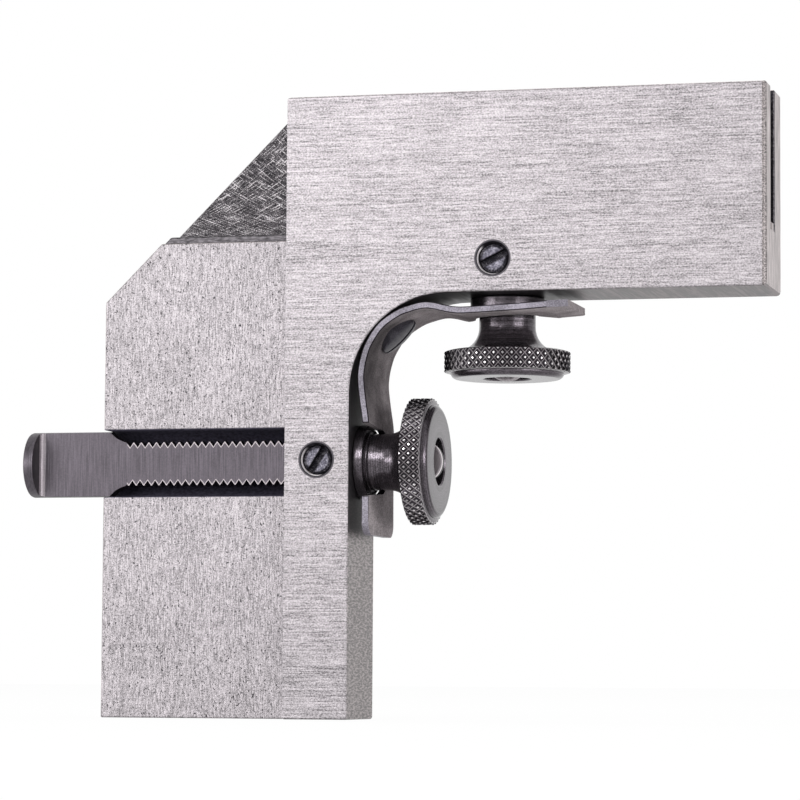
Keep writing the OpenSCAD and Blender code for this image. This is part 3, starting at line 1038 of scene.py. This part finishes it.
# %% Rule bolt: nose
NOSE_W, NOSE_H, NOSE_REACH, NOSE_BREAK = 2.4, 0.9, 0.75, 0.1
nose_y = WALL_Y - NOSE_REACH - RULE_Y
nose = block((NOSE_W, -nose_y, NOSE_H), (0, nose_y / 2, CAP_Z + NOSE_H / 2))
bpy.ops.mesh.select_all(action="SELECT")
bpy.ops.mesh.bevel(offset=NOSE_BREAK, segments=2)
combine(rule_bolt, nose, "UNION")
rule_bolt.data.materials.append(BOLT_PLAIN)
settle(rule_bolt, Matrix.Translation((RULE_X, RULE_Y, 0)), "rule_bolt", "rule_bolt")

# %% [markdown]
# ## Nuts: finish
# The nuts are turned, knurled and blackened. Turning leaves lines round the
# axis, so the noise is read at the radius and at the height along the
# axis, and never at the angle. Handling wears the black off the crests of
# the knurl, and the crests also carry a painted highlight. The flanks of
# the knurl get painted shade and the bottoms of its grooves a painted
# highlight. All are picked out by their radius.

# %% Black oxide on a turned piece
RIM_R, GROOVE_R = 6.1, 5.84


def turned_oxide(name, centre, axis):
    """Black oxide: lines round the axis, painted shade on the knurl's flanks, a painted highlight
    in its grooves, and worn steel with a painted highlight on its crests.
    """
    steel = Finish(name, Metallic=0.85)
    places = list(zip(steel.parts(), centre, axis))
    radius = distance(*(part - at * MM for part, at, along in places if not along))
    height = next(part for part, at, along in places if along)
    lines = steel.trace(radius * 9000, height * 11000)
    mark = lines * 0.55 + steel.grain((0.45, (8000, 8000, 8000)))
    crest = radius.rise((RIM_R - 0.1) * MM, (RIM_R - 0.07) * MM)
    near_rim = radius.rise((GROOVE_R - 0.06) * MM, (GROOVE_R - 0.04) * MM)
    groove = near_rim * (1 - radius.rise((GROOVE_R + 0.01) * MM, (GROOVE_R + 0.05) * MM))
    plain = steel.tones(mark, shade(79, 74, 79), (0.4, 0.4), (0.5, 1.0), (0.6, 2.0))
    # Painted shade on the knurl's flanks.
    flanks = steel.mix(near_rim * 0.8, plain, shade(26, 25, 29))
    # Painted highlight in the bottoms of the grooves.
    lined = steel.mix(groove * 0.9, flanks, shade(168, 162, 165))
    wear = steel.noise((900, 900, 900)).rise(0.35, 0.65)
    # Crests: worn bright, and a painted highlight.
    colour = steel.mix(crest * (wear * 0.6 + 0.3), lined, shade(225, 220, 222))
    return steel.marked(colour, mark, 0.24, 0.08, 0.000007)


BLADE_OXIDE = turned_oxide("black_oxide_blade", (0, 0, BLADE_Z), (1, 0, 0))
RULE_OXIDE = turned_oxide("black_oxide_rule", (RULE_X, RULE_Y, 0), (0, 0, 1))

# %% [markdown]
# ## Knurled nut: turned shape
# From the head outwards the nut is a collar, a groove, a neck that sweeps
# out in a cove, a knurled rim and a smooth face with a hole. The profile is
# spun in as many steps as the knurl has half-diamonds, so that the knurl
# can later be made from the rim's own vertices.

# %% Turn the nut
DIAMONDS = 44
STEPS = 2 * DIAMONDS
ROW_LOW, ROW_H, ROWS = 5.2, 0.4625, 5
COVE_R, COVE_RISE, NECK_R, NECK_Z = 2.185, 2.3, 2.7, 2.75
COVE_ANGLES = [math.radians(a) for a in range(8, 73, 8)]
rows = [ROW_LOW + ROW_H * k for k in range(ROWS)]
collar = [(2.25, 0.03), (3.47, 0.03), (3.55, 0.11), (3.55, 0.94), (3.47, 1.0), (2.8, 1.0)]
ring = [(2.8, 1.12), (3.0, 1.15), (3.05, 1.2), (3.05, 1.26), (3.0, 1.3), (NECK_R, 1.3),
        (NECK_R, NECK_Z)]
cove = [(NECK_R + COVE_R * (1 - math.cos(a)), NECK_Z + COVE_RISE * math.sin(a))
        for a in COVE_ANGLES]
rim = [(4.25, 5.03), (5.55, 5.05), (5.68, 5.08)] + [(GROOVE_R, z) for z in rows]
face_edge = [(5.66, 7.17), (5.55, 7.2), (5.4, 7.2), (5.4, 7.32), (5.36, 7.42), (5.28, 7.53),
             (5.16, 7.63), (5.02, 7.7), (4.86, 7.72)]
bore = [(2.37, 7.72), (2.25, 7.6), (2.25, 0.03)]
nut = lathe("blade_nut_knurled", collar + ring + cove + rim + face_edge + bore, STEPS)
print("nut turned in", STEPS, "steps")

# %% [markdown]
# ## Knurled nut: diamonds
# A knurling wheel presses crossing grooves into the rim and leaves little
# pyramids. They could be cut with many Booleans, which is slow and fragile.
# Here every other vertex of the rim, as on a chess board, is a crest: the
# ones between are joined crosswise by Vertex Connect, and the crests are
# then lifted to the full radius and blunted with a vertex bevel.

# %% Knurl the nut
CREST_BLUNT = 0.12
LIFT = RIM_R / GROOVE_R


def on_rim(vertex):
    """True for the vertices of the knurled rim."""
    radius = math.hypot(vertex.co.x, vertex.co.y)
    in_rows = rows[0] - ON_LINE < vertex.co.z < rows[-1] + ON_LINE
    return abs(radius - GROOVE_R) < ON_LINE and in_rows


def is_crest(vertex):
    """True for every other vertex of the rim, as on a chess board."""
    column = round(math.atan2(vertex.co.y, vertex.co.x) / (2 * math.pi) * STEPS)
    return (column + round((vertex.co.z - ROW_LOW) / ROW_H)) % 2 == 1


hold(nut, "EDIT")
print("groove crossings:", pick("verts", lambda vertex: on_rim(vertex) and not is_crest(vertex)))
bpy.ops.mesh.vert_connect()
print("crests:", pick("verts", lambda vertex: on_rim(vertex) and is_crest(vertex)))
bpy.ops.transform.resize(value=(LIFT, LIFT, 1), center_override=(0, 0, 0))
bpy.ops.mesh.bevel(offset=CREST_BLUNT, segments=1, affect="VERTICES")
bpy.ops.object.mode_set(mode="OBJECT")

# %% [markdown]
# The second nut is the same part, so it is a copy with its own mesh. One
# lies on the blade bolt and faces right, the other hangs on the rule bolt
# and faces down.

# %% Put both nuts in place
FACE_DOWN = Matrix.Rotation(math.pi, 4, "X")
rule_nut = nut.copy()
rule_nut.data = nut.data.copy()
rule_nut.name = "rule_nut_knurled"
bpy.context.scene.collection.objects.link(rule_nut)
nut.data.materials.append(BLADE_OXIDE)
rule_nut.data.materials.append(RULE_OXIDE)
settle(nut, Matrix.Translation((LEG_W, 0, 0)) @ ALONG_X, "blade_nut", "blade_nut",
       smooth=25)
settle(rule_nut, Matrix.Translation((RULE_X, RULE_Y, TOP_LEG_Z)) @ FACE_DOWN, "rule_nut",
       "rule_nut", smooth=25)

# %% [markdown]
# ## Leaf spring
# The spring is a strip of blued steel. It was sheared from sheet, so its
# long edges are barer and lighter than its faces and slightly rounded. Its
# shape is the CAD model's own, and only its long edges are broken here,
# short of the two tips, where bevels would meet in a spike. The strip gets
# painted shade, a little all over but at its right end, and most in the bend
# and towards its front there. The finish tells a sheared edge from a face by
# the way each looks, and the rounded rims between are painted dark, as
# painted shade.

# %% Blued steel
SHADE_UP, SHADE_BACK, SHADE_RIGHT = (0.0265, 0.0315), (-0.0035, 0.003), (0.0095, 0.0125)


def blued_steel(name, light, rough, metal, shaded=False):
    """Blued spring steel with a fine mottle, and painted shade on it but at the right end."""
    steel = Finish(name, Metallic=metal, Specular_IOR_Level=metal)
    mark = steel.grain((0.6, (8500, 8500, 8500)), (0.4, (450, 450, 450)))
    colour = steel.tones(mark, light, (0.38, 0.6), (0.5, 1.0), (0.62, 1.5))
    if shaded:
        x, y, z = steel.parts()
        # Painted shade: a little all over, most in the bend and at the front, none at the right
        # end.
        at_bend = z.rise(*SHADE_UP) * (0.6 - y.rise(*SHADE_BACK) * 0.4)
        painted_shade = (1 - x.rise(*SHADE_RIGHT)) * (at_bend + 0.15)
        colour = steel.mix(painted_shade, colour, shade(8, 7, 9))
    return steel.marked(colour, mark, 0.3, rough - 0.15, 0.000008)


# The rounded rims are painted near black, as painted shade along the strip's edges.
SPRING_FINISHES = [blued_steel("blued_spring", shade(148, 141, 143), 0.42, 0.0, True),
                   blued_steel("sheared_edge", shade(124, 120, 129), 0.36, 0.12),
                   blued_steel("rounded_edge", shade(34, 31, 35), 0.6, 0.0)]

# %% Leaf spring
STRIP_BREAK, STRIP_HALF = 0.09, 4.75
STRIP_RUN_X, STRIP_RUN_Z = 25.5, 19.2
STRIP_TIP_Z = 18.9
FOLDED = 1
NARROW, BROAD = 0.3, 0.5


def strip_weight(edge):
    """1 for the long outer edges of the strip, short of its two tips."""
    middle = (edge.verts[0].co + edge.verts[1].co) / 2
    outer = all(abs(abs(vertex.co.y) - STRIP_HALF) < ON_LINE for vertex in edge.verts)
    short_of_tips = middle.x < STRIP_RUN_X and middle.z > STRIP_RUN_Z
    return 1.0 if outer and short_of_tips and edge.calc_face_angle(0) > FOLDED else 0.0


def strip_finish(face):
    """0 for the strip's faces, 1 for its sheared edges and tip, 2 for the rounded rims."""
    side = abs(face.normal.y)
    at_tip = face.center.z < STRIP_TIP_Z and face.normal.z < -0.05
    if side > 0.97 or face.normal.y < -0.85 and face.area > BROAD or at_tip:
        return 1
    # The rounded rims get the near-black finish, painted shade.
    return 2 if side > 0.15 and face.area < NARROW else 0


spring = cad_copy("leaf_spring", "leaf_spring_bent")
print("long edges:", bevel_by_weight(spring, strip_weight, STRIP_BREAK, segments=2))
finish_faces(spring, SPRING_FINISHES, strip_finish)
settle(spring, Matrix(), "head", "leaf_spring")

# %% [markdown]
# ## Screws
# The spring screw is blued and has a low dome. The two grub screws show a
# worn, lighter disc in a dark chamfer, with a black slot. That disc is
# found by its distance from the screw's axis. The slot is found by its
# depth below the face and, along its soft edges, by the distance from its
# middle line. The screws' shapes are the CAD model's, with their edges
# broken.

# %% Screws and their finishes
SCREW_BREAK = 0.05
SCREW_SHARP = math.radians(35)
DISC_RIM, SLOT_RIM = (0.00095, 0.00115), (0.00034, 0.00044)


def grub_steel(name, centre, turn, face_y):
    """Black screw end: a worn disc, a dark chamfer and a dark slot with soft edges."""
    steel = Finish(name, Metallic=0.5, Specular_IOR_Level=0.1)
    x, y, z = steel.parts()
    east, north = x - centre[0] * MM, z - centre[1] * MM
    across = east * math.sin(math.radians(turn)) - north * math.cos(math.radians(turn))
    off_slot = across.maths("ABSOLUTE", across).rise(*SLOT_RIM)
    on_face = 1 - y.rise((face_y + 0.02) * MM, (face_y + 0.08) * MM)
    worn = (1 - distance(east, north).rise(*DISC_RIM)) * on_face * off_slot
    mark = steel.grain((0.6, (7000, 7000, 7000)), (0.4, (1500, 1500, 1500)))
    disc = steel.ramp(mark, (0.38, shade(62, 60, 69)), (0.5, shade(92, 90, 100)),
                      (0.62, shade(140, 137, 147)))
    dark = steel.ramp(mark, (0.38, shade(14, 13, 18)), (0.5, shade(26, 24, 31)),
                      (0.64, shade(90, 87, 92)))
    return steel.marked(steel.mix(worn, dark, disc), mark, 0.3, 0.2, 0.00001)


for node in ("spring_screw", "blade_guide_screw", "rule_guide_screw"):
    screw = cad_copy(node, node + "_slotted")
    modify(screw, "BEVEL", width=SCREW_BREAK, segments=2, limit_method="ANGLE",
           angle_limit=SCREW_SHARP)
    if node in GUIDES:
        x, z, turn = GUIDES[node]
        oxide = grub_steel(node + "_oxide", (x, z), turn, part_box(node)[0][1] / MM)
    else:
        oxide = blued_steel(node + "_oxide", shade(60, 58, 64), 0.35, 0.12)
    screw.data.materials.append(oxide)
    settle(screw, Matrix(), "head", node)
